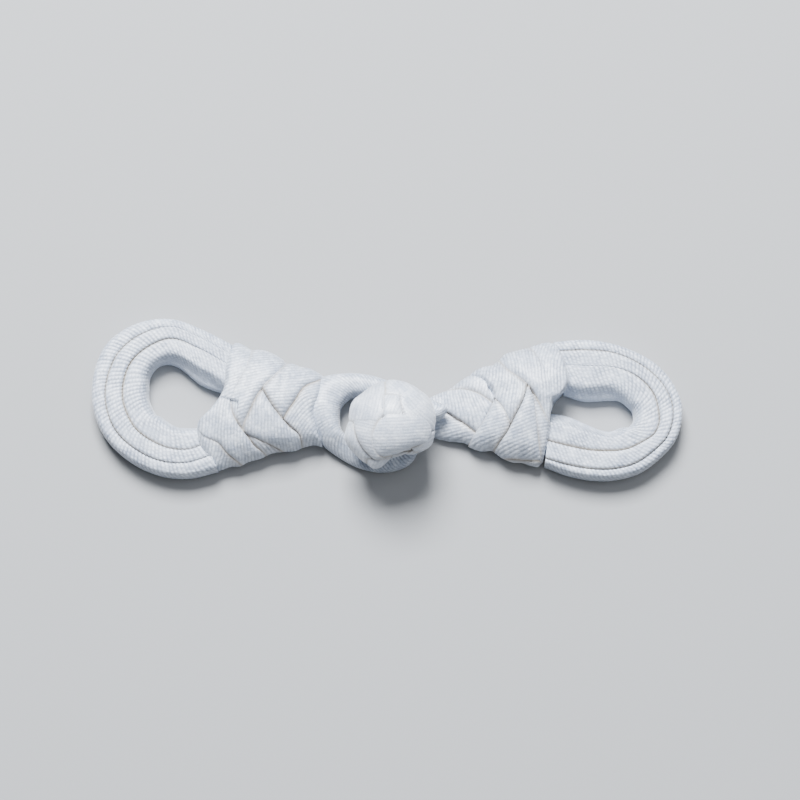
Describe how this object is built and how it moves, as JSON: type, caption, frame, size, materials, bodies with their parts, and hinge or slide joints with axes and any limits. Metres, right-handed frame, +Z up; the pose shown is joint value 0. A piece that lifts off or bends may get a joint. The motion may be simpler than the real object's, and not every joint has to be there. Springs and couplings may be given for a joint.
{
  "type": "frog closure",
  "caption": "Buttoned frog closure of white ribbed satin tubing: an eye of sewn turns and a plaited body on each half, with a loop over a ball knot.",
  "frame": {"origin": "centre of the closure's length and width, on the flat face that lies on the garment", "axes": "+X from the loop half to the knot half along the length, +Y across, +Z up out of the garment"},
  "size_m": [0.0699, 0.0194, 0.0115],
  "materials": {
    "row_satin": "ribbed satin tubing on edge",
    "plait_satin": "ribbed satin tubing, flattened and plaited",
    "knot_satin": "ribbed satin tubing, knotted tight"
  },
  "bodies": {
    "root": {"left_row_outer": "row_satin", "left_row_middle": "row_satin", "left_row_inner": "row_satin", "left_wrap": "plait_satin", "button_loop": "plait_satin", "button_knot": "knot_satin", "right_neck": "plait_satin", "right_wrap": "plait_satin", "right_row_outer": "row_satin", "right_row_middle": "row_satin", "right_row_inner": "row_satin"}
  },
  "joints": []
}
